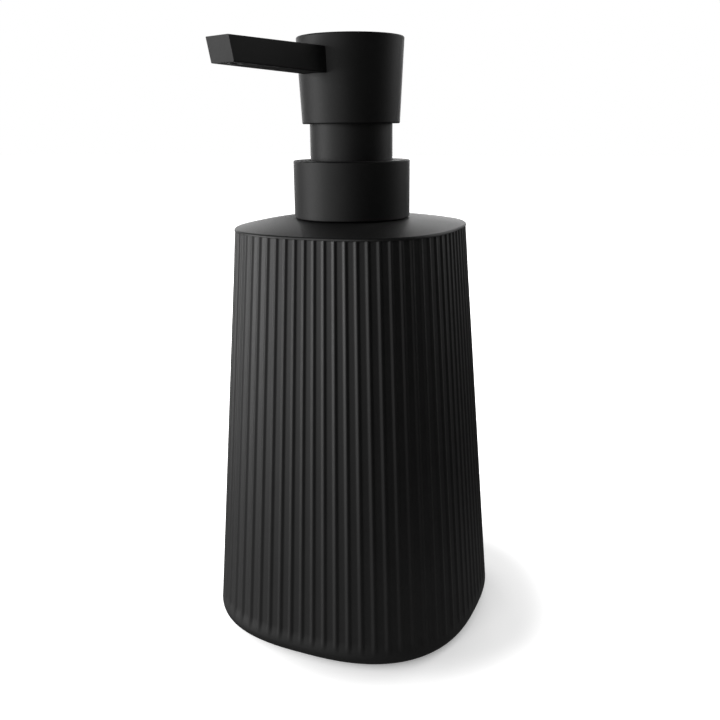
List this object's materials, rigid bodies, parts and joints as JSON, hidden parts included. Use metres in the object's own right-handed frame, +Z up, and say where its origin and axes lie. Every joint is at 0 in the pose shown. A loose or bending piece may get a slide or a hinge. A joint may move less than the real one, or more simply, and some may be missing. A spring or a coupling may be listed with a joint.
{
  "type": "soap pump dispenser",
  "caption": "Free-standing soap dispenser: fluted, tapering bottle of rounded square plan, screw collar and a push-down pump head with a bar spout.",
  "frame": {"origin": "the middle of the resting face, on the pump's axis", "axes": "+Z up along the pump's axis; the bottle's flat sides face along X and Y; at rest the spout is turned 19.5 degrees from -Y towards -X"},
  "size_m": [0.0824, 0.0864, 0.1731],
  "materials": {
    "body_black": "matte moulded",
    "pump_black": "matte moulded",
    "inner_black": "matte moulded",
    "inner_natural": "milky natural polypropylene",
    "seal": "smooth",
    "pad_rubber": "fine-grained",
    "steel": "bright drawn"
  },
  "bodies": {
    "bottle": {"bottle_body": "body_black", "neck_insert": "inner_black", "base_plate": "body_black", "base_pad": "pad_rubber"},
    "pump": {"neck_gasket": "seal", "pump_housing": "inner_natural", "guide_sleeve": "pump_black", "ball_cage": "inner_natural", "dip_tube": "inner_natural", "return_spring": "steel"},
    "inlet_valve": {"inlet_ball": "steel"},
    "collar": {"collar_shell": "pump_black", "closure_ring": "inner_black"},
    "plunger": {"piston_stem": "inner_natural", "piston": "seal", "stem_plug": "inner_natural"},
    "outlet_valve": {"outlet_ball": "steel"},
    "head": {"head_shell": "pump_black", "actuator_core": "inner_black", "spout": "pump_black", "spout_liner": "inner_black", "outlet_bush": "inner_black"}
  },
  "joints": [
    {"name": "pump_lift", "type": "slide", "parent": "bottle", "child": "pump", "axis": [0, 0, 1], "range_m": [0, 0.135]},
    {"name": "collar_turn", "type": "hinge", "parent": "pump", "child": "collar", "pos_m": [0, 0, 0.1316], "axis": [0, 0, 1], "range_deg": [0, 540]},
    {"name": "head_press", "type": "slide", "parent": "pump", "child": "plunger", "axis": [0, 0, -1], "range_m": [0, 0.0095], "stiffness_N_per_m": 1200, "springref_m": -0.006, "deforming": ["return_spring"]},
    {"name": "head_turn", "type": "hinge", "parent": "plunger", "child": "head", "pos_m": [0, 0, 0.16], "axis": [0, 0, 1], "continuous": true},
    {"name": "inlet_ball_lift", "type": "slide", "parent": "pump", "child": "inlet_valve", "axis": [0, 0, 1], "range_m": [0, 0.0012]},
    {"name": "outlet_ball_lift", "type": "slide", "parent": "plunger", "child": "outlet_valve", "axis": [0, 0, 1], "range_m": [0, 0.0015]}
  ]
}
